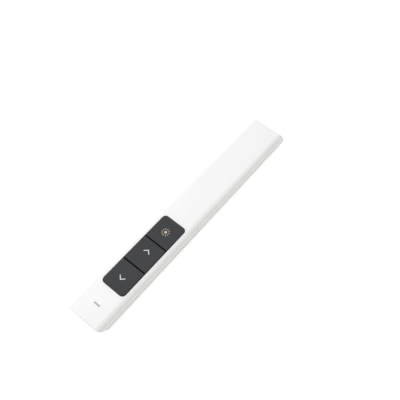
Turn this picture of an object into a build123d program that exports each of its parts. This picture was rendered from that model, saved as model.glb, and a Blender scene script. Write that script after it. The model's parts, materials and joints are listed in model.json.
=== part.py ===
from build123d import *
import os
from math import copysign, cos, radians, tan

# A slim presentation clicker, lying on its back.
# +X runs to the laser end, +Z out of the key face, +Y to the side with the power switch.
# The origin is on the table, under the middle of the bar. Millimetres throughout.

os.makedirs("parts", exist_ok=True)

# ---------------------------------------------------------------- driving dimensions

# case
case_width = 20.8
tail_lean = 36.0           # degrees from upright; both ends lean the same way
nose_lean = 26.0
top_round = 3.0            # along the two long top edges
inner_round = 1.3          # along the same edges inside
bottom_round = 5.0         # along the two long bottom edges
end_round = 0.5
wall = 1.2
roof = 1.0
floor = 1.0
play = 0.15                # ordinary clearance between pieces
running_clearance = 0.06   # round pieces in round holes
rib = 1.2                  # thickness of the ribs inside
rib_reach = 0.25           # how far ribs stay from the battery cover

# seam: a tongue on the lower shell in a rebate of the upper one, with snap ridges
seam_height = 6.9
seam_gap = 0.25            # the shadow line between the shells
lip = 0.5
lip_height = 0.8
lip_root = 1.0             # how far the tongue reaches down inside the lower shell
snap_length = 4.0
snap_radius = 0.22
snap_above_seam = 0.4

# lengths along the bar, from the tail to the nose
tail_margin = 20.3         # tail edge to the keypad
boss_bay = 11.6            # keypad to the first battery bulkhead
laser_bay = 19.7           # last battery bulkhead to the nose edge

# keys
key_count = 3
key_length = 15.4
key_width = 14.2
key_gap = 0.6              # between neighbouring keys
key_margin = 0.25          # between the keys and the case
key_rise = 0.7             # how far the keys stand above the case
key_corner = 2.0
key_edge = 0.3
key_skin = 1.1
key_hollow_corner = 1.0
key_travel = 0.5
key_flange = 0.6           # how far the key's lip reaches under the roof
key_flange_thickness = 0.7
key_post_radius = 1.5

# legends, moulded into the keys: a sun on the laser key, a chevron on each of the others
legend_depth = 0.4
stroke = 0.42
chevron_width = 3.2        # between the ends of its arms
chevron_length = 1.6
back_shift = -1.75         # chevron's point to the middle of the key
forward_shift = 2.7
sun_shift = -0.2
sun_radius = 0.72
ray_count = 10
ray_start = 1.4
ray_length = 0.9
ray_width = 0.33
legend_base = 0.3          # hidden disc that joins the sun's rays
base_rim = 0.3

# circuit board and what carries it
board_thickness = 0.8
board_side_gap = 0.6       # board edge to the case's inside wall
board_over_receiver = 0.25
board_from_tail = 7.0
board_past_keypad = 3.2
board_corner = 0.8
strip_width = 2.1          # the strip that runs beside the cell
strip_gap = 0.25           # strip to the battery cover's rail
tab_reach = 2.6            # how far the strip's tab reaches past the middle
tab_gap = 0.25
ledge = 1.2                # how far the ledges reach under the board
hold_inset = 3.0           # ledges and hold-down ribs to the keypad's ends
hold_gap = 0.05
peg_radius = 0.32          # pegs that place the board on the receiver bay
peg_height = 1.0
peg_from_corner = 0.9      # peg to the bay's inside corner
peg_fit = 0.08

# what stands on the board
switch_side = 5.2
switch_corner = 0.5
switch_base_height = 1.8
switch_height = 2.6        # with its plunger
switch_floor = 0.2
plunger_radius = 1.25
plunger_float = 0.3        # left under the plunger when the key is home
chip_side = 4.0
chip_height = 0.9
chip_edge = 0.1
crystal_length = 3.2
crystal_width = 2.5
crystal_height = 0.8
crystal_corner = 0.3
crystal_gap = 1.15         # chip to crystal

# status light
window_from_tail = 10.3
window_length = 3.7        # across the bar
window_width = 0.9
led_length = 1.6           # across the bar
led_width = 0.8
led_height = 0.7
led_gap = 0.2
guide_fit = 0.03
guide_shoulder = 0.6
guide_shoulder_height = 0.7
guide_stem_length = 2.0    # across the bar
guide_stem_width = 1.2

# power switch
power_from_keypad = 24.0   # keypad edge to the middle of the switch
power_travel = 2.6
power_above_seam = 2.0     # middle of the knob above the seam
knob_length = 5.4
knob_height = 1.7
knob_sunk = 0.1            # knob's face below the case's side
knob_grip_count = 3
knob_grip_pitch = 1.0
knob_grip_width = 0.35
knob_grip_depth = 0.3
scoop_length = 11.0        # shallow recess for the thumb round the knob
scoop_height = 3.0
scoop_depth = 0.35
skirt_thickness = 0.5      # the knob's plate inside the case
skirt_rim = 0.45
skirt_overlap = 0.4
lever_length = 1.4
lever_height = 0.9
lever_depth = 0.9
slider_gap = 0.65          # knob's plate to the switch
slider_base_length = 8.6
slider_base_width = 3.0
slider_base_height = 2.6

# battery cover and the rails that carry it
rail_thickness = 0.9
rail_gap = 0.2             # rail to the case's inside wall
rail_root = 1.4            # above the seam
rail_drop = 2.0            # below the seam
rail_inset = 1.0           # rail's start after the cover's joint
rail_short = 0.5           # rail's end before the nose
hook = 0.5                 # how far the rail's hook reaches into the cover
hook_height = 0.9
hook_land = 0.4
groove_gap = 0.15
grip_count = 5             # grip lines where the thumb pushes
grip_pitch = 1.6
grip_length = 8.0
grip_width = 0.6
grip_depth = 0.3
grip_from_joint = 9.0

# battery
cell_diameter = 10.3
cell_length = 44.5         # with the nub
cell_edge = 0.4
nub_length = 0.8
nub_radius = 1.9
cell_clearance = 0.15
cradle_drop = 2.2          # how far the cradle ribs reach below the cell's middle
cradle_inset = 13.0        # cradle ribs to the cell's ends
bulkhead = 1.2
contact_thickness = 0.3
contact_width = 7.2
contact_height = 8.0
tail_height = 0.5          # the contacts' solder tails on the board's strip
tail_reach = 1.2
spring_length = 3.0
spring_wire = 0.5
spring_turns = 3
spring_radius = 2.8
spring_cone = -8.0
spring_weld = 0.05         # how far the coil sinks into its plate

# laser module
barrel_radius = 3.0
barrel_length = 13.5
barrel_bore = 2.4
barrel_edge = 0.3
aperture_radius = 1.3
laser_drop = 0.1           # gap between the barrel and the roof
lens_thickness = 1.6
lens_dome = 0.7
lens_seat = 1.0            # wall in front of the lens
can_length = 3.0
neck_radius = 1.6
neck_length = 1.4
clip_inset = 3.0           # the ribs that hold the barrel to its ends
clip_wall = 1.6
clip_drop = 1.6
driver_thickness = 0.6
driver_width = 4.4
driver_gap = 0.3
pin_count = 2
pin_pitch = 2.54
pin_side = 0.5

# USB receiver
plug_width = 12.0
plug_height = 4.5
plug_length = 12.0
plug_skin = 0.3
plug_corner = 0.4
plug_sunk = 3.0            # how far the plug's shell is sunk in the cap
plug_window = 2.2
plug_window_pitch = 4.5
plug_window_from_end = 6.0
tongue_height = 1.9
tongue_side_gap = 0.2
tongue_short = 0.6
pad_count = 4
pad_pitch = 2.3
pad_length = 8.0
pad_width = 1.0
pad_thickness = 0.1
pad_from_end = 5.6
cap_length = 6.4
cap_width = 13.2
cap_height = 4.7
cap_plate = 1.6
bay_rail = 0.6             # the bay's floor rails, which the receiver slides on
bay_rail_width = 1.2
bay_rail_pitch = 8.0
guide_wall = 0.9           # the bay's side walls
notch_width = 6.0          # for a fingernail under the cap
notch_depth = 2.0

# case screw
screw_radius = 0.8
screw_head_radius = 1.5
screw_length = 5.9
screw_gap = 0.05
screw_sink = 0.7           # depth of the head's seat
cross_length = 1.8
cross_width = 0.4
cross_depth = 0.4
boss_radius = 2.2
boss_spare = 0.75          # left above the screw's tip
shelf_thickness = 1.2
shelf_back = 6.0           # how far the shelf reaches behind the cover's joint
shelf_rim = 0.4

# ---------------------------------------------------------------- worked-out places

case_height = floor + cell_diameter + 2 * cell_clearance + roof
keypad_length = key_count * key_length + (key_count - 1) * key_gap + 2 * key_margin
keypad_width = key_width + 2 * key_margin
battery_bay = 2 * bulkhead + 2 * contact_thickness + spring_length + cell_length
case_length = tail_margin + keypad_length + boss_bay + battery_bay + laser_bay
half_width = case_width / 2
half_inside = half_width - wall
tail_slant = tan(radians(tail_lean))
nose_slant = tan(radians(nose_lean))
tail_x = -(case_length + case_height * nose_slant) / 2
roof_z = case_height - roof
far = 2 * case_length      # longer than anything it cuts

keypad_start = tail_x + tail_margin
keypad_end = keypad_start + keypad_length
keypad_x = (keypad_start + keypad_end) / 2
key_pitch = key_length + key_gap
first_key_x = keypad_start + key_margin + key_length / 2
flange_top = roof_z - play
flange_low = flange_top - key_flange_thickness
flange_half = key_width / 2 + key_flange
key_top = case_height + key_rise

bay_start = keypad_end + boss_bay
bay_end = bay_start + battery_bay
split_x = (keypad_end + bay_start) / 2
plate_x = bay_start + bulkhead
cell_start = plate_x + contact_thickness + spring_length
cell_end = cell_start + cell_length
cell_z = floor + cell_clearance + cell_diameter / 2
cell_room = cell_diameter / 2 + cell_clearance

receiver_z = floor + bay_rail + play + plug_height / 2
cap_low = receiver_z - cap_height / 2 - play
cap_high = seam_height - play
board_z = receiver_z + cap_height / 2 + board_over_receiver
board_top = board_z + board_thickness
board_half = half_inside - board_side_gap
board_start = tail_x + board_from_tail
board_end = keypad_end + board_past_keypad
plunger_low = board_top + key_travel + plunger_float
plunger_top = board_top + switch_height
window_x = tail_x + window_from_tail

rail_out = half_inside - rail_gap
rail_in = rail_out - rail_thickness
rail_low = seam_height - rail_drop
rail_start = split_x + rail_inset
rail_end = tail_x + case_length - rail_short
strip_out = rail_in - strip_gap
strip_in = strip_out - strip_width
ledge_in = board_half - ledge
hold_spots = (keypad_start + hold_inset, keypad_end - hold_inset - rib)
ledge_spots = (hold_spots[0], keypad_x - rib / 2, hold_spots[1])
snap_z = seam_height + snap_above_seam

power_x = keypad_start + power_from_keypad
power_z = seam_height + power_above_seam
off_x = power_x - power_travel / 2     # the knob stands at the off end of its travel
skirt_in = half_inside - play - skirt_thickness
base_out = skirt_in - slider_gap
lever_in = base_out - lever_depth

boss_x = (split_x + bay_start) / 2
shelf_low = floor + play
shelf_high = shelf_low + shelf_thickness
shelf_half = half_width - bottom_round
screw_low = shelf_low + screw_gap
screw_tip = screw_low + screw_length


def end_x(z, inset=0.0):
    """Where the tail's slanted face stands at height z, drawn in by a wall of this thickness."""
    return tail_x + (case_height - z) * tail_slant + inset / cos(radians(tail_lean))


def nose_x(z, inset=0.0):
    """The same at the nose."""
    return tail_x + case_length + (case_height - z) * nose_slant - inset / cos(radians(nose_lean))


# the barrel's upper edge stops just short of the nose wall
laser_z = roof_z - laser_drop - barrel_radius
barrel_end = nose_x(laser_z + barrel_radius, wall) - play
barrel_start = barrel_end - barrel_length
clip_half = barrel_radius + clip_wall
driver_start = bay_end + driver_gap
tab_end = barrel_start - tab_gap

cap_half = cap_width / 2
cap_end = end_x(receiver_z) + cap_length
plug_root = cap_end - plug_sunk
plug_end = cap_end + plug_length
plug_low = receiver_z - plug_height / 2
bay_half = cap_half + play
bay_stop = plug_end + play
peg_x = bay_stop + guide_wall / 2
peg_y = bay_half - peg_from_corner


def bar(side=0.0, top=0.0, bottom=0.0, end=0.0, inner=False):
    """The case's outer form, or the form inside it, drawn in by each of the given walls."""
    low, high = bottom, case_height - top
    with BuildPart() as form:
        with BuildSketch(Plane.XZ):
            with BuildLine():
                Polyline(
                    (end_x(high, end), high),
                    (nose_x(high, end), high),
                    (nose_x(low, end), low),
                    (end_x(low, end), low),
                    close=True,
                )
            make_face()
        extrude(amount=half_width - side, both=True)
        top_radius = inner_round if inner else top_round - side
        fillet(form.edges().filter_by(Axis.X).group_by(Axis.Z)[-1], top_radius)
        fillet(form.edges().filter_by(Axis.X).group_by(Axis.Z)[0], bottom_round - side)
    return form.part


def block(x0, x1, y0, y1, z0, z1):
    """A plain box between two corners."""
    with BuildPart() as solid:
        with BuildSketch(Plane.XY.offset(z0)):
            with Locations(((x0 + x1) / 2, (y0 + y1) / 2)):
                Rectangle(abs(x1 - x0), abs(y1 - y0))
        extrude(amount=z1 - z0)
    return solid.part


def rod(x0, x1, y, z, radius):
    """A round bar along X."""
    with BuildPart() as solid:
        with BuildSketch(Plane.YZ.offset(x0)):
            with Locations((y, z)):
                Circle(radius)
        extrude(amount=x1 - x0)
    return solid.part


# the outer form with its end edges eased, the space inside the walls, and half-way through them
with BuildPart() as outer:
    add(bar())
    fillet(outer.faces().sort_by(Axis.X)[0].edges(), end_round)
    fillet(outer.faces().sort_by(Axis.X)[-1].edges(), end_round)
cavity = bar(wall, roof, floor, wall, inner=True)
mid_wall = bar(wall / 2, roof / 2, floor / 2, wall / 2)

# ---------------------------------------------------------------- seam

# the tongue that rises inside the upper shell, with a snap ridge beside each key joint
with BuildPart() as tongue:
    add(bar(wall - lip, roof, floor, wall - lip))
    add(
        block(-far, far, -far, far, seam_height - lip_root, seam_height + lip_height),
        mode=Mode.INTERSECT,
    )
    for step in range(key_count + 1):
        x = keypad_start + step * key_pitch
        half = snap_length / 2
        for side in (-1, 1):
            add(rod(x - half, x + half, side * (half_inside + lip), snap_z, snap_radius))
    add(cavity, mode=Mode.SUBTRACT)

# the rebate that takes it, with room for the ridges
with BuildPart() as rebate:
    add(bar(wall - lip - play / 2, roof, floor, wall - lip - play / 2))
    add(
        block(-far, split_x, -far, far, floor, seam_height + lip_height + play),
        mode=Mode.INTERSECT,
    )
    for step in range(key_count + 1):
        x = keypad_start + step * key_pitch
        room = snap_length / 2 + play
        for side in (-1, 1):
            add(rod(x - room, x + room, side * (half_inside + lip), snap_z, snap_radius + play / 2))

# ---------------------------------------------------------------- upper shell

# where the shell's ribs may stand: up to its own walls, but clear of the battery cover
with BuildPart() as rib_room:
    add(mid_wall)
    split(bisect_by=Plane.XY.offset(seam_height + play), keep=Keep.TOP)
    add(bar(wall + rib_reach, roof / 2, floor + rib_reach, wall))

with BuildPart() as inner_ribs:
    # bulkheads at both ends of the battery
    add(block(bay_start, bay_start + bulkhead, -far, far, 0, case_height))
    add(block(bay_end - bulkhead, bay_end, -far, far, 0, case_height))
    # cradle ribs over the cell
    for x in (cell_start + cradle_inset, cell_end - cradle_inset - rib):
        add(block(x, x + rib, -far, far, cell_z - cradle_drop, case_height))
    # clips that hold the laser barrel
    for x in (barrel_start + clip_inset, barrel_end - clip_inset - rib):
        add(block(x, x + rib, -clip_half, clip_half, laser_z - clip_drop, case_height))
    add(rib_room.part, mode=Mode.INTERSECT)
    # room for the cell, the barrel and the board's strip
    add(rod(plate_x, bay_end - bulkhead, 0, cell_z, cell_room), mode=Mode.SUBTRACT)
    add(rod(bay_end, far, 0, laser_z, barrel_radius + running_clearance), mode=Mode.SUBTRACT)
    add(
        block(split_x, far, strip_in - play, strip_out + play, 0, board_top + play),
        mode=Mode.SUBTRACT,
    )

# ribs that press the board on to the lower shell's ledges
with BuildPart() as hold_downs:
    for x in hold_spots:
        for side in (-1, 1):
            y0, y1 = side * (flange_half + play), side * (half_inside - play)
            add(block(x, x + rib, y0, y1, board_top + hold_gap, case_height))
            y1 = side * half_width
            add(block(x, x + rib, y0, y1, seam_height + lip_height + 2 * play, case_height))
    add(mid_wall, mode=Mode.INTERSECT)

# the two rails that carry the battery cover, each with a hook along its foot
with BuildPart() as cover_rails:
    with BuildSketch(Plane.YZ.offset(rail_start)):
        with BuildLine():
            Polyline(
                (rail_in, seam_height + rail_root),
                (half_inside + rail_gap, seam_height + rail_root),
                (half_inside + rail_gap, seam_height + play),
                (rail_out, seam_height + play),
                (rail_out, rail_low + hook_height),
                (rail_out + hook, rail_low + (hook_height + hook_land) / 2),
                (rail_out + hook, rail_low + (hook_height - hook_land) / 2),
                (rail_out, rail_low),
                (rail_in, rail_low),
                close=True,
            )
        make_face()
        mirror(about=Plane.YZ)
    extrude(amount=rail_end - rail_start)

with BuildPart() as upper_shell:
    add(outer.part)
    add(cavity, mode=Mode.SUBTRACT)
    split(bisect_by=Plane.XY.offset(seam_height), keep=Keep.TOP)
    add(rebate.part, mode=Mode.SUBTRACT)
    add(inner_ribs.part)
    add(hold_downs.part)
    add(cover_rails.part)
    # screw boss
    with BuildSketch(Plane.XY.offset(shelf_high)):
        with Locations((boss_x, 0)):
            Circle(boss_radius)
    extrude(amount=roof_z + roof / 2 - shelf_high)
    with BuildSketch(Plane.XY.offset(shelf_high)):
        with Locations((boss_x, 0)):
            Circle(screw_radius + running_clearance)
    extrude(amount=screw_tip + boss_spare - shelf_high, mode=Mode.SUBTRACT)
    # keypad opening
    with BuildSketch(Plane.XY.offset(case_height)):
        with Locations((keypad_x, 0)):
            RectangleRounded(keypad_length, keypad_width, key_corner + key_margin)
    extrude(amount=-roof - play, mode=Mode.SUBTRACT)
    # slot for the light guide
    with BuildSketch(Plane.XY.offset(case_height)):
        with Locations((window_x, 0)):
            Rectangle(window_width, window_length)
    extrude(amount=-roof - play, mode=Mode.SUBTRACT)
    # thumb recess in the hidden side, and the power knob's slot through it
    with BuildSketch(Plane.XZ.offset(-half_width)):
        with Locations((power_x, power_z)):
            SlotOverall(scoop_length, scoop_height)
    extrude(amount=scoop_depth, mode=Mode.SUBTRACT)
    with BuildSketch(Plane.XZ.offset(-half_width)):
        with Locations((power_x, power_z)):
            SlotOverall(knob_length + power_travel + 2 * play, knob_height + 2 * play)
    extrude(amount=wall + play, mode=Mode.SUBTRACT)
    # laser aperture in the nose wall
    add(rod(barrel_end, far, 0, laser_z, aperture_radius), mode=Mode.SUBTRACT)

upper_shell.part.label = "upper_shell"
export_step(upper_shell.part, "parts/upper_shell.step")

# ---------------------------------------------------------------- lower shell

# receiver bay: side walls, floor rails and a stop that carries the board's pegs
with BuildPart() as bay:
    for side in (-1, 1):
        y0, y1 = side * bay_half, side * (bay_half + guide_wall)
        add(block(tail_x, bay_stop + guide_wall, y0, y1, 0, board_z))
        y0 = side * (bay_rail_pitch - bay_rail_width) / 2
        y1 = side * (bay_rail_pitch + bay_rail_width) / 2
        add(block(tail_x, bay_stop, y0, y1, 0, floor + bay_rail))
    add(block(bay_stop, bay_stop + guide_wall, -bay_half, bay_half, 0, board_z))
    with BuildSketch(Plane.XY.offset(floor)):
        with Locations((peg_x, -peg_y), (peg_x, peg_y)):
            Circle(peg_radius)
    extrude(amount=board_z + peg_height - floor)
    add(mid_wall, mode=Mode.INTERSECT)

# ledges along both walls that carry the board
with BuildPart() as ledges:
    for x in ledge_spots:
        for side in (-1, 1):
            add(block(x, x + rib, side * ledge_in, side * half_width, 0, board_z))
    add(mid_wall, mode=Mode.INTERSECT)

with BuildPart() as lower_shell:
    add(outer.part)
    add(cavity, mode=Mode.SUBTRACT)
    split(bisect_by=Plane.XY.offset(seam_height - seam_gap), keep=Keep.BOTTOM)
    add(tongue.part)
    add(bay.part)
    add(ledges.part)
    split(bisect_by=Plane.YZ.offset(split_x - play / 2), keep=Keep.BOTTOM)
    # shelf under the case screw, covered by the battery cover
    shelf_end = boss_x + boss_radius + shelf_rim
    add(block(split_x - shelf_back, shelf_end, -shelf_half, shelf_half, floor / 2, shelf_high))
    add(block(split_x - play / 2, far, -far, far, 0, shelf_low), mode=Mode.SUBTRACT)
    with Locations(Location((boss_x, 0, shelf_low), (180, 0, 0))):
        CounterBoreHole(
            screw_radius + play, screw_head_radius + play, screw_sink, shelf_thickness * 2
        )
    # the mouth that the receiver comes out of, and a notch for a fingernail
    mouth_end = end_x(0, 2 * wall)
    add(
        block(-far, mouth_end, -bay_half, bay_half, cap_low - play, case_height),
        mode=Mode.SUBTRACT,
    )
    notch_half = notch_width / 2
    add(block(-far, end_x(0, notch_depth), -notch_half, notch_half, 0, cap_low), mode=Mode.SUBTRACT)

lower_shell.part.label = "lower_shell"
export_step(lower_shell.part, "parts/lower_shell.step")

# ---------------------------------------------------------------- battery cover

groove_out = rail_out + hook + groove_gap
with BuildPart() as battery_cover:
    add(outer.part)
    add(cavity, mode=Mode.SUBTRACT)
    split(bisect_by=Plane.XY.offset(seam_height - seam_gap), keep=Keep.BOTTOM)
    split(bisect_by=Plane.YZ.offset(split_x + play / 2), keep=Keep.TOP)
    # grooves that run on the rails' hooks
    groove_low, groove_high = rail_low - groove_gap, rail_low + hook_height + groove_gap
    for side in (-1, 1):
        y0, y1 = side * (half_inside - lip), side * groove_out
        add(
            block(split_x, rail_end + rail_short, y0, y1, groove_low, groove_high),
            mode=Mode.SUBTRACT,
        )
    # shallow grip lines where the thumb pushes
    with BuildSketch(Plane.XY):
        with Locations((split_x + grip_from_joint, 0)):
            with GridLocations(grip_pitch, 0, grip_count, 1):
                SlotOverall(grip_length, grip_width, rotation=90)
    extrude(amount=grip_depth, mode=Mode.SUBTRACT)

battery_cover.part.label = "battery_cover"
export_step(battery_cover.part, "parts/battery_cover.step")

# ---------------------------------------------------------------- keys and their switches

key_names = ("back", "forward", "laser")
legend_low = key_top - legend_depth


def chevron(x, shift):
    """A point shift away from x, with two arms that open back towards it."""
    tip = x + shift
    foot = tip - copysign(chevron_length, shift)
    with BuildPart() as symbol:
        with BuildSketch(Plane.XY.offset(legend_low)):
            for side in (-1, 1):
                middle = ((tip + foot) / 2, side * chevron_width / 4)
                SlotCenterPoint(middle, (tip, 0), stroke)
        extrude(amount=legend_depth)
    return symbol.part


def sun(x):
    """A disc with rays, joined by a wider disc hidden in the key."""
    with BuildPart() as symbol:
        with BuildSketch(Plane.XY.offset(legend_low)):
            with Locations((x, 0)):
                Circle(sun_radius)
                with PolarLocations(ray_start + ray_length / 2, ray_count):
                    SlotOverall(ray_length, ray_width)
        extrude(amount=legend_depth)
        with BuildSketch(Plane.XY.offset(legend_low)):
            with Locations((x, 0)):
                Circle(ray_start + ray_length + base_rim)
        extrude(amount=-legend_base)
    return symbol.part


for index, name in enumerate(key_names):
    x = first_key_x + index * key_pitch
    first, last = index == 0, index == key_count - 1
    if name == "laser":
        symbol = sun(x + sun_shift)
    else:
        symbol = chevron(x, back_shift if name == "back" else forward_shift)

    with BuildPart() as key_legend:
        add(symbol)
    key_legend.part.label = f"legend_{name}"
    export_step(key_legend.part, f"parts/legend_{name}.step")

    with BuildPart() as key:
        with BuildSketch(Plane.XY.offset(flange_low)):
            with Locations((x, 0)):
                Rectangle(key_length, key_width)
        extrude(amount=key_top - flange_low)
        uprights = key.edges().filter_by(Axis.Z).group_by(Axis.X)
        if first:
            fillet(uprights[0], key_corner)
        if last:
            fillet(uprights[-1], key_corner)
        fillet(key.faces().sort_by(Axis.Z)[-1].edges(), key_edge)
        # the lip that stops the key under the roof
        with BuildSketch(Plane.XY.offset(flange_low)):
            with Locations((x, 0)):
                Rectangle(key_length - 2 * key_corner, 2 * flange_half)
        extrude(amount=key_flange_thickness)
        # hollow underside with a post in the middle
        with BuildSketch(Plane.XY.offset(flange_low)):
            with Locations((x, 0)):
                RectangleRounded(key_length - 2 * key_skin, key_width - 2 * key_skin, key_hollow_corner)
        extrude(amount=key_top - key_skin - flange_low, mode=Mode.SUBTRACT)
        with BuildSketch(Plane.XY.offset(plunger_top)):
            with Locations((x, 0)):
                Circle(key_post_radius)
        extrude(amount=key_top - key_skin - plunger_top)
        add(symbol, mode=Mode.SUBTRACT)
    key.part.label = f"key_{name}"
    export_step(key.part, f"parts/key_{name}.step")

    with BuildPart() as plunger:
        with BuildSketch(Plane.XY.offset(plunger_low)):
            with Locations((x, 0)):
                Circle(plunger_radius)
        extrude(amount=plunger_top - plunger_low)
    plunger.part.label = f"plunger_{name}"
    export_step(plunger.part, f"parts/plunger_{name}.step")

    with BuildPart() as tact_switch:
        with BuildSketch(Plane.XY.offset(board_top)):
            with Locations((x, 0)):
                Rectangle(switch_side, switch_side)
        extrude(amount=switch_base_height)
        chamfer(tact_switch.edges().filter_by(Axis.Z), switch_corner)
        with BuildSketch(Plane.XY.offset(board_top + switch_floor)):
            with Locations((x, 0)):
                Circle(plunger_radius + running_clearance)
        extrude(amount=switch_base_height, mode=Mode.SUBTRACT)
    tact_switch.part.label = f"tact_switch_{name}"
    export_step(tact_switch.part, f"parts/tact_switch_{name}.step")

# ---------------------------------------------------------------- circuit board

with BuildPart() as circuit_board:
    with BuildSketch(Plane.XY.offset(board_z)):
        with Locations(((board_start + board_end) / 2, 0)):
            RectangleRounded(board_end - board_start, 2 * board_half, board_corner)
        # the strip that runs past the cell, and its tab under the laser's board
        with Locations(((board_end - strip_width + tab_end) / 2, (strip_in + strip_out) / 2)):
            Rectangle(tab_end - board_end + strip_width, strip_width)
        with Locations(((driver_start + tab_end) / 2, (strip_out - tab_reach) / 2)):
            Rectangle(tab_end - driver_start, strip_out + tab_reach)
        # holes for the pegs
        with Locations((peg_x, -peg_y), (peg_x, peg_y)):
            Circle(peg_radius + peg_fit, mode=Mode.SUBTRACT)
    extrude(amount=board_thickness)
circuit_board.part.label = "circuit_board"
export_step(circuit_board.part, "parts/circuit_board.step")

# radio chip between the first two switches, its crystal beside it
chip_x = first_key_x + key_pitch / 2
with BuildPart() as radio_chip:
    with BuildSketch(Plane.XY.offset(board_top)):
        with Locations((chip_x, 0)):
            Rectangle(chip_side, chip_side)
    extrude(amount=chip_height)
    chamfer(radio_chip.faces().sort_by(Axis.Z)[-1].edges(), chip_edge)
radio_chip.part.label = "radio_chip"
export_step(radio_chip.part, "parts/radio_chip.step")

with BuildPart() as crystal:
    with BuildSketch(Plane.XY.offset(board_top)):
        with Locations((chip_x, -chip_side / 2 - crystal_gap - crystal_width / 2)):
            RectangleRounded(crystal_length, crystal_width, crystal_corner)
    extrude(amount=crystal_height)
crystal.part.label = "crystal"
export_step(crystal.part, "parts/crystal.step")

# ---------------------------------------------------------------- status light

with BuildPart() as status_led:
    with BuildSketch(Plane.XY.offset(board_top)):
        with Locations((window_x, 0)):
            Rectangle(led_width, led_length)
    extrude(amount=led_height)
status_led.part.label = "status_led"
export_step(status_led.part, "parts/status_led.step")

with BuildPart() as light_guide:
    with BuildSketch(Plane.XY.offset(roof_z)):
        with Locations((window_x, 0)):
            Rectangle(window_width - 2 * guide_fit, window_length - 2 * guide_fit)
    extrude(amount=roof)
    # shoulder that stops it under the roof
    with BuildSketch(Plane.XY.offset(roof_z)):
        with Locations((window_x, 0)):
            Rectangle(window_width + 2 * guide_shoulder, window_length + 2 * guide_shoulder)
    extrude(amount=-guide_shoulder_height)
    # stem down to the light
    with BuildSketch(Plane.XY.offset(roof_z)):
        with Locations((window_x, 0)):
            Rectangle(guide_stem_width, guide_stem_length)
    extrude(amount=board_top + led_height + led_gap - roof_z)
light_guide.part.label = "light_guide"
export_step(light_guide.part, "parts/light_guide.step")

# ---------------------------------------------------------------- power switch

with BuildPart() as power_switch:
    with BuildSketch(Plane.XY.offset(board_top)):
        with Locations((power_x, base_out - slider_base_width / 2)):
            Rectangle(slider_base_length, slider_base_width)
    extrude(amount=slider_base_height)
    # slot that the lever slides in
    slot_half = (lever_length + power_travel) / 2 + play
    with BuildSketch(Plane.XZ.offset(-base_out)):
        with Locations((power_x, power_z)):
            Rectangle(2 * slot_half, lever_height + 2 * play)
    extrude(amount=lever_depth + play, mode=Mode.SUBTRACT)
power_switch.part.label = "power_switch"
export_step(power_switch.part, "parts/power_switch.step")

with BuildPart() as switch_lever:
    with BuildSketch(Plane.XZ.offset(-skirt_in)):
        with Locations((off_x, power_z)):
            Rectangle(lever_length, lever_height)
    extrude(amount=skirt_in - lever_in)
switch_lever.part.label = "switch_lever"
export_step(switch_lever.part, "parts/switch_lever.step")

# a thumb knob on a plate that always covers its slot
skirt_length = knob_length + 2 * (power_travel + skirt_overlap)
knob_out = half_width - knob_sunk
with BuildPart() as power_knob:
    with BuildSketch(Plane.XZ.offset(-skirt_in)):
        with Locations((off_x, power_z)):
            SlotOverall(skirt_length, knob_height + 2 * skirt_rim)
    extrude(amount=-skirt_thickness)
    with BuildSketch(Plane.XZ.offset(-skirt_in)):
        with Locations((off_x, power_z)):
            SlotOverall(knob_length, knob_height)
    extrude(amount=skirt_in - knob_out)
    with BuildSketch(Plane.XZ.offset(-knob_out)):
        with Locations((off_x, power_z)):
            with GridLocations(knob_grip_pitch, 0, knob_grip_count, 1):
                Rectangle(knob_grip_width, knob_height)
    extrude(amount=knob_grip_depth, mode=Mode.SUBTRACT)
power_knob.part.label = "power_knob"
export_step(power_knob.part, "parts/power_knob.step")

# ---------------------------------------------------------------- battery and contacts

with BuildPart() as battery_cell:
    add(rod(cell_start, cell_end - nub_length, 0, cell_z, cell_diameter / 2))
    fillet(battery_cell.edges().filter_by(GeomType.CIRCLE), cell_edge)
    add(rod(cell_end - nub_length - cell_edge, cell_end, 0, cell_z, nub_radius))
battery_cell.part.label = "battery_cell"
export_step(battery_cell.part, "parts/battery_cell.step")


def contact(x):
    """A contact plate with its solder tail on the board's strip."""
    half, rise = contact_width / 2, contact_height / 2
    with BuildPart() as plate:
        add(block(x, x + contact_thickness, -half, half, cell_z - rise, cell_z + rise))
        add(block(x, x + contact_thickness, 0, strip_in + tail_reach, board_top, board_top + tail_height))
    return plate.part


with BuildPart() as battery_spring:
    add(contact(plate_x))
    coil_start = plate_x + contact_thickness + spring_wire / 2 - spring_weld
    coil_height = cell_start - spring_wire / 2 - coil_start
    with BuildLine() as coil:
        Helix(
            pitch=coil_height / spring_turns,
            height=coil_height,
            radius=spring_radius,
            center=(coil_start, 0, cell_z),
            direction=(1, 0, 0),
            cone_angle=spring_cone,
        )
    with BuildSketch(Plane(origin=coil.line @ 0, z_dir=coil.line % 0)):
        Circle(spring_wire / 2)
    sweep(path=coil.line, is_frenet=True)
battery_spring.part.label = "battery_spring"
export_step(battery_spring.part, "parts/battery_spring.step")

with BuildPart() as positive_contact:
    add(contact(cell_end))
positive_contact.part.label = "positive_contact"
export_step(positive_contact.part, "parts/positive_contact.step")

# ---------------------------------------------------------------- laser module

bore_end = barrel_end - lens_seat
with BuildPart() as laser_barrel:
    add(rod(barrel_start, barrel_end, 0, laser_z, barrel_radius))
    chamfer(laser_barrel.edges().filter_by(GeomType.CIRCLE), barrel_edge)
    add(rod(barrel_start, bore_end, 0, laser_z, barrel_bore), mode=Mode.SUBTRACT)
    add(rod(barrel_start, barrel_end, 0, laser_z, aperture_radius), mode=Mode.SUBTRACT)
laser_barrel.part.label = "laser_barrel"
export_step(laser_barrel.part, "parts/laser_barrel.step")

# a lens with its dome towards the nose
bore_fit = barrel_bore - running_clearance
with BuildPart() as laser_lens:
    add(rod(bore_end - lens_thickness, bore_end, 0, laser_z, bore_fit))
    fillet(laser_lens.edges().filter_by(GeomType.CIRCLE).sort_by(Axis.X)[-1], lens_dome)
laser_lens.part.label = "laser_lens"
export_step(laser_lens.part, "parts/laser_lens.step")

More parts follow.
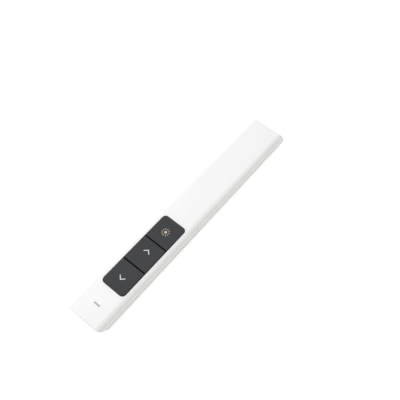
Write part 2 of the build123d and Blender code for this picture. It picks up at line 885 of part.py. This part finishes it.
can_end = barrel_start + can_length
with BuildPart() as laser_diode:
    add(rod(barrel_start, can_end, 0, laser_z, bore_fit))
    add(rod(can_end, can_end + neck_length, 0, laser_z, neck_radius))
laser_diode.part.label = "laser_diode"
export_step(laser_diode.part, "parts/laser_diode.step")

with BuildPart() as laser_driver:
    with BuildSketch(Plane.XY.offset(laser_z - driver_thickness / 2)):
        with Locations(((driver_start + barrel_start) / 2, 0)):
            Rectangle(barrel_start - driver_start, driver_width)
    extrude(amount=driver_thickness)
    # pins down to the board's tab
    with BuildSketch(Plane.XY.offset(board_top)):
        with Locations(((driver_start + tab_end) / 2, 0)):
            with GridLocations(0, pin_pitch, 1, pin_count):
                Rectangle(pin_side, pin_side)
    extrude(amount=laser_z - board_top)
laser_driver.part.label = "laser_driver"
export_step(laser_driver.part, "parts/laser_driver.step")

# ---------------------------------------------------------------- USB receiver

body_low, body_high = receiver_z - cap_height / 2, receiver_z + cap_height / 2
with BuildPart() as receiver_cap:
    # face plate, flush with the slanted tail
    with BuildSketch(Plane.XZ):
        with BuildLine():
            Polyline(
                (end_x(cap_high), cap_high),
                (end_x(cap_high, cap_plate), cap_high),
                (end_x(cap_low, cap_plate), cap_low),
                (end_x(cap_low), cap_low),
                close=True,
            )
        make_face()
    extrude(amount=cap_half, both=True)
    # body behind it
    with BuildSketch(Plane.XZ):
        with BuildLine():
            Polyline(
                (end_x(body_high, cap_plate / 2), body_high),
                (cap_end, body_high),
                (cap_end, body_low),
                (end_x(body_low, cap_plate / 2), body_low),
                close=True,
            )
        make_face()
    extrude(amount=cap_half, both=True)
    # socket for the plug's shell
    socket_half = plug_width / 2
    add(
        block(plug_root, far, -socket_half, socket_half, plug_low, plug_low + plug_height),
        mode=Mode.SUBTRACT,
    )
receiver_cap.part.label = "receiver_cap"
export_step(receiver_cap.part, "parts/receiver_cap.step")

with BuildPart() as receiver_shell:
    inner_width, inner_height = plug_width - 2 * plug_skin, plug_height - 2 * plug_skin
    with BuildSketch(Plane.YZ.offset(plug_root)):
        with Locations((0, receiver_z)):
            RectangleRounded(plug_width, plug_height, plug_corner)
            Rectangle(inner_width, inner_height, mode=Mode.SUBTRACT)
    extrude(amount=plug_end - plug_root)
    # the two square windows on each face
    with BuildSketch(Plane.XY.offset(plug_low - play)):
        with Locations((plug_end - plug_window_from_end, 0)):
            with GridLocations(0, plug_window_pitch, 1, 2):
                Rectangle(plug_window, plug_window)
    extrude(amount=plug_height + 2 * play, mode=Mode.SUBTRACT)
receiver_shell.part.label = "receiver_shell"
export_step(receiver_shell.part, "parts/receiver_shell.step")

tongue_low = plug_low + plug_skin
tongue_half = plug_width / 2 - plug_skin - tongue_side_gap
with BuildPart() as receiver_tongue:
    tongue_end = plug_end - tongue_short
    add(
        block(plug_root, tongue_end, -tongue_half, tongue_half, tongue_low, tongue_low + tongue_height)
    )
receiver_tongue.part.label = "receiver_tongue"
export_step(receiver_tongue.part, "parts/receiver_tongue.step")

with BuildPart() as receiver_contacts:
    with BuildSketch(Plane.XY.offset(tongue_low + tongue_height)):
        with Locations((plug_end - pad_from_end, 0)):
            with GridLocations(0, pad_pitch, 1, pad_count):
                Rectangle(pad_length, pad_width)
    extrude(amount=pad_thickness)
receiver_contacts.part.label = "receiver_contacts"
export_step(receiver_contacts.part, "parts/receiver_contacts.step")

# ---------------------------------------------------------------- case screw

with BuildPart() as case_screw:
    with BuildSketch(Plane.XY.offset(screw_low)):
        with Locations((boss_x, 0)):
            Circle(screw_head_radius)
    extrude(amount=screw_sink - screw_gap)
    with BuildSketch(Plane.XY.offset(screw_low)):
        with Locations((boss_x, 0)):
            Circle(screw_radius)
    extrude(amount=screw_length)
    # cross recess
    with BuildSketch(Plane.XY.offset(screw_low)):
        with Locations((boss_x, 0)):
            Rectangle(cross_length, cross_width)
            Rectangle(cross_width, cross_length)
    extrude(amount=cross_depth, mode=Mode.SUBTRACT)
case_screw.part.label = "case_screw"
export_step(case_screw.part, "parts/case_screw.step")
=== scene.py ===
import json
import random
from math import radians

import bmesh
import bpy
from mathutils import Euler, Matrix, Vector


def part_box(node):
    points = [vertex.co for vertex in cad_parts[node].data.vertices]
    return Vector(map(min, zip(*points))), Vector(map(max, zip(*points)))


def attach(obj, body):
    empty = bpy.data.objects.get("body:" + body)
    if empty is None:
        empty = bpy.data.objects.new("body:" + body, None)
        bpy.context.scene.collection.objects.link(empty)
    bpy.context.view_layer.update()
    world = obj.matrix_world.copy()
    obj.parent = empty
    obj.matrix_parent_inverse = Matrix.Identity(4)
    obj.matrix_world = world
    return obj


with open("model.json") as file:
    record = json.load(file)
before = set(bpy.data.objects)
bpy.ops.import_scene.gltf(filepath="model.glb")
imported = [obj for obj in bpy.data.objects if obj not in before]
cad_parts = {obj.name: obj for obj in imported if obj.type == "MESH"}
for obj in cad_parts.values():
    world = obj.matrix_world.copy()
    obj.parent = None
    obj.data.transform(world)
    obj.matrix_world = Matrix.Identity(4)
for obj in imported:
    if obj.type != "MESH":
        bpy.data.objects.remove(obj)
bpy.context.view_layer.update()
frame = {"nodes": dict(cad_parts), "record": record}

# A slim presentation clicker on its back, dressed in the CAD frame: metres, +X towards the laser
# end, +Y to the side with the power switch, +Z out of the key face.

MM = 0.001
scene = bpy.context.scene
nodes = frame["nodes"]
materials = {}             # by the record's slot names, filled as the shaders are made


# ------------------------------------------------------------------ material building blocks

class Shader:
    """The material of one slot, on object coordinates, which are the part's own metres."""

    def __init__(self, slot, color, roughness, metallic=0.0, **sockets):
        material = bpy.data.materials.new(slot)
        material.use_nodes = True
        materials[slot] = material
        self.tree = material.node_tree
        self.bsdf = self.tree.nodes["Principled BSDF"]
        self.bsdf.inputs["Base Color"].default_value = (*color, 1)
        self.bsdf.inputs["Roughness"].default_value = roughness
        self.bsdf.inputs["Metallic"].default_value = metallic
        for socket, value in sockets.items():
            self.bsdf.inputs[socket.replace("_", " ")].default_value = value
        self.coordinates = self.node("ShaderNodeTexCoord").outputs["Object"]
        self.base = None
        self.relief = None

    def node(self, kind, **values):
        """A new node. Each value goes to its setting of that name or, without one, to its socket."""
        made = self.tree.nodes.new(kind)
        for key, value in values.items():
            if hasattr(made, key):
                setattr(made, key, value)
            else:
                made.inputs[key.replace("_", " ")].default_value = value
        return made

    def link(self, output, socket):
        self.tree.links.new(output, socket)

    def axes(self):
        """Object coordinates as outputs X, Y and Z."""
        split = self.node("ShaderNodeSeparateXYZ")
        self.link(self.coordinates, split.inputs[0])
        return split.outputs

    def stretched(self, scale):
        """Object coordinates with each axis scaled by its own amount."""
        mapping = self.node("ShaderNodeMapping")
        mapping.inputs["Scale"].default_value = scale
        self.link(self.coordinates, mapping.inputs["Vector"])
        return mapping.outputs["Vector"]

    def noise(self, scale, detail=3.0, roughness=0.5, vector=None):
        noise = self.node("ShaderNodeTexNoise", Scale=scale, Detail=detail, Roughness=roughness)
        self.link(vector or self.coordinates, noise.inputs["Vector"])
        return noise.outputs["Fac"]

    def remap(self, value, a, b, low=0.3, high=0.7):
        """The value from low to high becomes a to b. Most of a noise lies between the defaults."""
        remap = self.node("ShaderNodeMapRange")
        for name, number in zip(("From Min", "From Max", "To Min", "To Max"), (low, high, a, b)):
            remap.inputs[name].default_value = number
        self.link(value, remap.inputs["Value"])
        return remap.outputs["Result"]

    def math(self, operation, a, b=None):
        made = self.node("ShaderNodeMath", operation=operation)
        for socket, value in zip(made.inputs, (a, b)):
            if isinstance(value, (int, float)):
                socket.default_value = value
            elif value is not None:
                self.link(value, socket)
        return made.outputs[0]

    def above(self, value, limit):
        return self.math("GREATER_THAN", value, limit)

    def below(self, value, limit):
        return self.math("LESS_THAN", value, limit)

    def distance(self, value, place):
        return self.math("ABSOLUTE", self.math("SUBTRACT", value, place))

    def mix(self, factor, a, b):
        """Colour a where the factor is 0, b where it is 1."""
        mix = self.node("ShaderNodeMix", data_type="RGBA")
        self.link(factor, mix.inputs["Factor"])
        for socket, color in ((mix.inputs[6], a), (mix.inputs[7], b)):
            if isinstance(color, tuple):
                socket.default_value = (*color, 1)
            else:
                self.link(color, socket)
        return mix.outputs[2]

    def color(self, output):
        self.base = output
        self.link(output, self.bsdf.inputs["Base Color"])

    def overlay(self, factor, color):
        """Another colour where the factor is 1."""
        self.color(self.mix(factor, self.base, color))

    def rough(self, output):
        self.link(output, self.bsdf.inputs["Roughness"])

    def bump(self, height, distance):
        """Relief of this height in metres, on top of any relief made before."""
        bump = self.node("ShaderNodeBump", Strength=1.0, Distance=distance)
        self.link(height, bump.inputs["Height"])
        if self.relief is not None:
            self.link(self.relief, bump.inputs["Normal"])
        self.relief = bump.outputs["Normal"]
        self.link(self.relief, self.bsdf.inputs["Normal"])


def tint(color, amount):
    return tuple(min(1.0, c * amount) for c in color)


def moulded(slot, color, roughness, grain, depth, mottle, **sockets):
    """Moulded plastic: a fine spark-eroded grain, faint flow mottling and uneven polish.

    grain is the grain's scale per metre, depth its height in mm, mottle the share by which
    the colour varies.
    """
    s = Shader(slot, color, roughness, **sockets)
    flow = s.remap(s.noise(60, 4), 0, 1)
    s.color(s.mix(flow, tint(color, 1 - mottle), tint(color, 1 + mottle / 2)))
    s.rough(s.remap(s.noise(900, 3), roughness - 0.05, roughness + 0.06))
    s.bump(s.noise(grain, 2), depth * MM)
    return s


def metal(slot, color, roughness, along=(40, 900, 900)):
    """Rolled or turned metal: fine scratches along one way and uneven shine."""
    s = Shader(slot, color, roughness, metallic=1.0)
    scratches = s.noise(1.0, 3, 0.6, s.stretched(along))
    s.rough(s.remap(scratches, roughness - 0.08, roughness + 0.08, 0.25, 0.75))
    s.color(s.mix(s.noise(250, 2), tint(color, 0.88), tint(color, 1.05)))
    s.bump(scratches, 0.002 * MM)
    return s


# ------------------------------------------------------------------ materials

# plain mouldings: colour, roughness, grain, depth and mottle
for slot, *finish in (
    ("legend_white", (0.77, 0.79, 0.82), 0.5, 9000, 0.002, 0.03),
    ("switch_black", (0.022, 0.022, 0.024), 0.45, 7000, 0.005, 0.15),
    ("switch_white", (0.78, 0.77, 0.72), 0.4, 7000, 0.004, 0.04),
    ("window_grey", (0.42, 0.42, 0.42), 0.3, 7000, 0.002, 0.05),
    ("led_white", (0.82, 0.79, 0.62), 0.25, 9000, 0.001, 0.04),
):
    moulded(slot, *finish)

metal("contact_steel", (0.62, 0.61, 0.58), 0.32)
metal("contact_gold", (0.83, 0.60, 0.24), 0.28)

# the case: white, with painted shade on the rim of lower shell and cover, where the seam's shadow
# line lies
shade_reach = 0.22 * MM     # inwards from the rim's outer edge
shade_height = 0.05 * MM    # to each side of the rim's face
shell = moulded("white_shell", (0.90, 0.90, 0.895), 0.41, grain=7000, depth=0.0035, mottle=0.012)
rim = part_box("battery_cover")[1]
place = shell.axes()
outer_edge = shell.above(shell.math("ABSOLUTE", place["Y"]), rim.y - shade_reach)
on_rim = shell.below(shell.distance(place["Z"], rim.z), shade_height)
# painted shade: the rim's outer edge darkened to stand for the shadow in the seam's gap
shell.overlay(shell.math("MULTIPLY", outer_edge, on_rim), (0.06, 0.06, 0.055))

# the keys: painted shade on their flanks, darker where they go down into the case
flank_start = 0.15 * MM    # below the key's top
flank_dark = 0.30 * MM     # below the key's top, and fully dark from there down
key = moulded(
    "key_grey", (0.042, 0.043, 0.0465), 0.6, grain=6500, depth=0.007, mottle=0.08,
    Specular_IOR_Level=0.2,
)
key_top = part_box("key_laser")[1].z
flank_shade = key.remap(key.axes()["Z"], 1, 0, key_top - flank_dark, key_top - flank_start)
# painted shade on the flanks, standing for the shadow in the gap round each key
key.overlay(flank_shade, (0.006, 0.006, 0.007))

# the sun: a cream disc with slightly duller rays
disc_radius = 1.1 * MM
cream = moulded("legend_cream", (0.61, 0.54, 0.355), 0.5, grain=9000, depth=0.002, mottle=0.03)
sun_low, sun_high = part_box("legend_laser")
sun = (sun_low + sun_high) / 2
place = cream.axes()
reach_squared = cream.math(
    "ADD",
    cream.math("POWER", cream.math("SUBTRACT", place["X"], sun.x), 2),
    cream.math("POWER", cream.math("SUBTRACT", place["Y"], sun.y), 2),
)
cream.overlay(cream.above(reach_squared, disc_radius**2), (0.53, 0.44, 0.335))

# turned brass: rings round the barrel's axis
brass = metal("barrel_brass", (0.62, 0.46, 0.21), 0.30, along=(30, 30, 30))
rings = brass.node(
    "ShaderNodeTexWave", wave_type="BANDS", bands_direction="X", Scale=900, Distortion=0.4
)
brass.link(brass.coordinates, rings.inputs["Vector"])
brass.bump(rings.outputs["Fac"], 0.004 * MM)

# clear acrylic
lens = Shader("lens_glass", (0.93, 0.95, 0.97), 0.05, Transmission_Weight=0.9, IOR=1.49)
lens.rough(lens.remap(lens.noise(700, 2), 0.02, 0.09))

# solder mask: bundles of narrow tracks, lighter where copper lies below, and tinned vias
mask_green = (0.03, 0.17, 0.07)
mask_shade = (0.018, 0.115, 0.045)
copper_green = (0.05, 0.25, 0.09)
tin = (0.52, 0.53, 0.48)
per_mm = (1000, 1000, 1000)    # the tracks' lengths are in mm
bundle_scale = (70, 190, 0)    # per metre, and the same through the board's thickness
via_scale = (430, 430, 0)

board = Shader("board_green", mask_green, 0.35)
tracks = board.node("ShaderNodeTexBrick", offset=0.41, squash=1.0, Scale=1.0)
for socket, value in (
    ("Brick Width", 13.0),
    ("Row Height", 0.52),
    ("Mortar Size", 0.075),
    ("Mortar Smooth", 0.3),
):
    tracks.inputs[socket].default_value = value
board.link(board.stretched(per_mm), tracks.inputs["Vector"])
bundle = board.remap(board.noise(1.0, 1, 0.4, board.stretched(bundle_scale)), 0, 1, 0.47, 0.52)
copper = board.math("MULTIPLY", tracks.outputs["Fac"], bundle)
vias = board.node("ShaderNodeTexVoronoi", Scale=1.0)
board.link(board.stretched(via_scale), vias.inputs["Vector"])
pads = board.remap(vias.outputs["Distance"], 1, 0, 0.10, 0.13)
masked = board.mix(board.noise(120, 3), mask_shade, mask_green)
board.color(board.mix(pads, board.mix(copper, masked, copper_green), tin))
board.rough(board.remap(board.noise(600, 2), 0.30, 0.42))
board.bump(board.math("MAXIMUM", copper, pads), 0.03 * MM)

# a plain film on the cell: dark for most of its length, one bright band, bare steel at both ends
band_length = 13 * MM      # from the nub's tip, steel end and all
plus_end = 1.6 * MM        # the nub and the bare steel round it
minus_end = 0.7 * MM
cell_low, cell_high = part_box("battery_cell")
wrap = Shader("cell_wrap", (0.16, 0.20, 0.26), 0.3)
along = wrap.axes()["X"]
printed = wrap.mix(wrap.noise(300, 2), (0.030, 0.042, 0.070), (0.040, 0.055, 0.090))
film = wrap.mix(wrap.above(along, cell_high.x - band_length), printed, (0.60, 0.61, 0.63))
ends = wrap.math(
    "MAXIMUM",
    wrap.above(along, cell_high.x - plus_end),
    wrap.below(along, cell_low.x + minus_end),
)
wrap.color(wrap.mix(ends, film, (0.55, 0.54, 0.52)))
wrap.link(ends, wrap.bsdf.inputs["Metallic"])
wrap.rough(wrap.remap(wrap.noise(500, 3), 0.22, 0.38))
wrap.bump(wrap.noise(1.0, 2, 0.5, wrap.stretched((300, 2000, 2000))), 0.003 * MM)

for row in frame["record"]["subparts"]:
    data = nodes[row["node"]].data
    data.materials.clear()
    data.materials.append(materials[row["material_slot"]])


# ------------------------------------------------------------------ small parts on the board

board_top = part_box("circuit_board")[1].z
part_length = 1.0 * MM
part_width = 0.5 * MM
part_height = 0.4 * MM
cap_share = 0.22           # each bright cap's share of a small part's length
cap_proud = 1.04           # the caps are this much wider and higher than the body
row_pitch = 2.3 * MM
rows = 5
columns = 4
column_margin = 0.8        # of a column's pitch, before the first and after the last
empty_share = 0.25         # of the places in the pattern
beside_chip = 5 * MM       # length of the patch after the laser key's switch


def mesh_object(name, fill):
    """An object whose mesh comes from fill, which adds its shapes to a bmesh."""
    mesh = bpy.data.meshes.new(name)
    form = bmesh.new()
    fill(form)
    form.to_mesh(mesh)
    form.free()
    made = bpy.data.objects.new(name, mesh)
    scene.collection.objects.link(made)
    return made


def piece(name, fill, slot, body, *extra):
    """A mesh of the scene's own, finished from a slot and carried by a body."""
    made = mesh_object(name, fill)
    for each in (slot, *extra):
        made.data.materials.append(materials[each])
    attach(made, body)


def small_part(form, x, y, turned):
    """One resistor or capacitor on the board: a body with a bright cap on each end."""
    lengthwise, across = (1, 0) if turned else (0, 1)
    for side in (-1, 0, 1):
        cap = side != 0
        size = Vector((0, 0, part_height))
        size[lengthwise] = part_length * (cap_share if cap else 1 - 2 * cap_share)
        size[across] = part_width
        if cap:
            size[across] *= cap_proud
            size.z *= cap_proud
        place = Vector((x, y, board_top + size.z / 2))
        place[lengthwise] += side * part_length * (1 - cap_share) / 2
        cube = bmesh.ops.create_cube(form, size=1.0)
        bmesh.ops.scale(form, vec=size, verts=cube["verts"])
        bmesh.ops.translate(form, vec=place, verts=cube["verts"])
        for face in {f for v in cube["verts"] for f in v.link_faces}:
            face.material_index = int(cap)


def scatter(form):
    """Two patches of small parts, between the switches and beside the radio chip."""
    random.seed(4)
    forward_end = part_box("tact_switch_forward")[1].x
    laser_low, laser_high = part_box("tact_switch_laser")
    for first, last in ((forward_end, laser_low.x), (laser_high.x, laser_high.x + beside_chip)):
        pitch = (last - first) / (columns - 1 + 2 * column_margin)
        for i in range(columns):
            for j in range(rows):
                if random.random() < empty_share:
                    continue
                x = first + (i + column_margin) * pitch
                y = (j - (rows - 1) / 2) * row_pitch
                small_part(form, x, y, turned=(i + j) % 2 == 0)


piece("board_parts", scatter, "switch_black", "case", "contact_steel")


# ------------------------------------------------------------------ floor, light and camera

floor_reach = 3.0          # from the middle to each side
floor_drop = 0.05 * MM     # below the part, so that their faces don't coincide
floor_glow = 0.46          # where it is seen directly, to lift the lit floor to white
dome = 0.64                # strength of the world's light on the object
paper_white = (0.95, 0.95, 0.95, 1)
paper_warm = (0.95, 0.95, 0.895, 1)    # in the light that it throws back on the object


def seen_directly(tree, low, high):
    """low for the rays that light the object, high for the eye and what metal and glass show."""
    rays = tree.nodes.new("ShaderNodeLightPath")
    total = rays.outputs["Is Camera Ray"]
    for ray in ("Is Glossy Ray", "Is Transmission Ray"):
        add = tree.nodes.new("ShaderNodeMath")
        tree.links.new(total, add.inputs[0])
        tree.links.new(rays.outputs[ray], add.inputs[1])
        total = add.outputs[0]
    remap = tree.nodes.new("ShaderNodeMapRange")
    remap.inputs["To Min"].default_value = low
    remap.inputs["To Max"].default_value = high
    tree.links.new(total, remap.inputs["Value"])
    return remap.outputs["Result"]


def floor_paper():
    """White paper that keeps the object's shadow and puts no glow on the object."""
    paper = bpy.data.materials.new("floor_white")
    paper.use_nodes = True
    tree = paper.node_tree
    tree.nodes.clear()
    tone = tree.nodes.new("ShaderNodeMix")
    tone.data_type = "RGBA"
    tone.inputs[6].default_value = paper_warm
    tone.inputs[7].default_value = paper_white
    diffuse = tree.nodes.new("ShaderNodeBsdfDiffuse")
    glow = tree.nodes.new("ShaderNodeEmission")
    both = tree.nodes.new("ShaderNodeAddShader")
    output = tree.nodes.new("ShaderNodeOutputMaterial")
    for start, end in (
        (seen_directly(tree, 0.0, 1.0), tone.inputs["Factor"]),
        (tone.outputs[2], diffuse.inputs["Color"]),
        (seen_directly(tree, 0.0, floor_glow), glow.inputs["Strength"]),
        (diffuse.outputs[0], both.inputs[0]),
        (glow.outputs[0], both.inputs[1]),
        (both.outputs[0], output.inputs["Surface"]),
    ):
        tree.links.new(start, end)
    return paper


def lamp(name, place, aim, size, watts):
    data = bpy.data.lights.new(name, "AREA")
    data.shape = "RECTANGLE"
    data.size, data.size_y = size
    data.energy = watts
    made = bpy.data.objects.new(name, data)
    made.location = place
    made.rotation_euler = (Vector(aim) - Vector(place)).to_track_quat("-Z", "Y").to_euler()
    scene.collection.objects.link(made)


def plane(form):
    bmesh.ops.create_grid(form, x_segments=1, y_segments=1, size=floor_reach)


floor = mesh_object("floor", plane)
floor.location.z = -floor_drop
floor.data.materials.append(floor_paper())

world = bpy.data.worlds.new("studio")
scene.world = world
world.use_nodes = True
sky = world.node_tree.nodes["Background"]
sky.inputs["Color"].default_value = (1, 1, 1, 1)
world.node_tree.links.new(seen_directly(world.node_tree, dome, 1.0), sky.inputs["Strength"])

# one strip light, high over the far side: the top brightest, the near side in soft shade
lamp("softbox", place=(0.02, 0.263, 0.494), aim=(0, 0, 0), size=(0.5, 0.1), watts=1.34)

# the photograph's view, fitted by least squares to edges measured in it
camera_data = bpy.data.cameras.new("camera")
camera_data.lens = 50.647
camera_data.sensor_width = 36.0
camera_data.clip_start = 0.01
camera = bpy.data.objects.new("camera", camera_data)
camera.location = (-0.112677, -0.087483, 0.271808)
camera.rotation_euler = Euler((radians(29.7869), radians(-2.1717), radians(-50.7243)), "XYZ")
scene.collection.objects.link(camera)
scene.camera = camera

scene.view_settings.view_transform = "Standard"
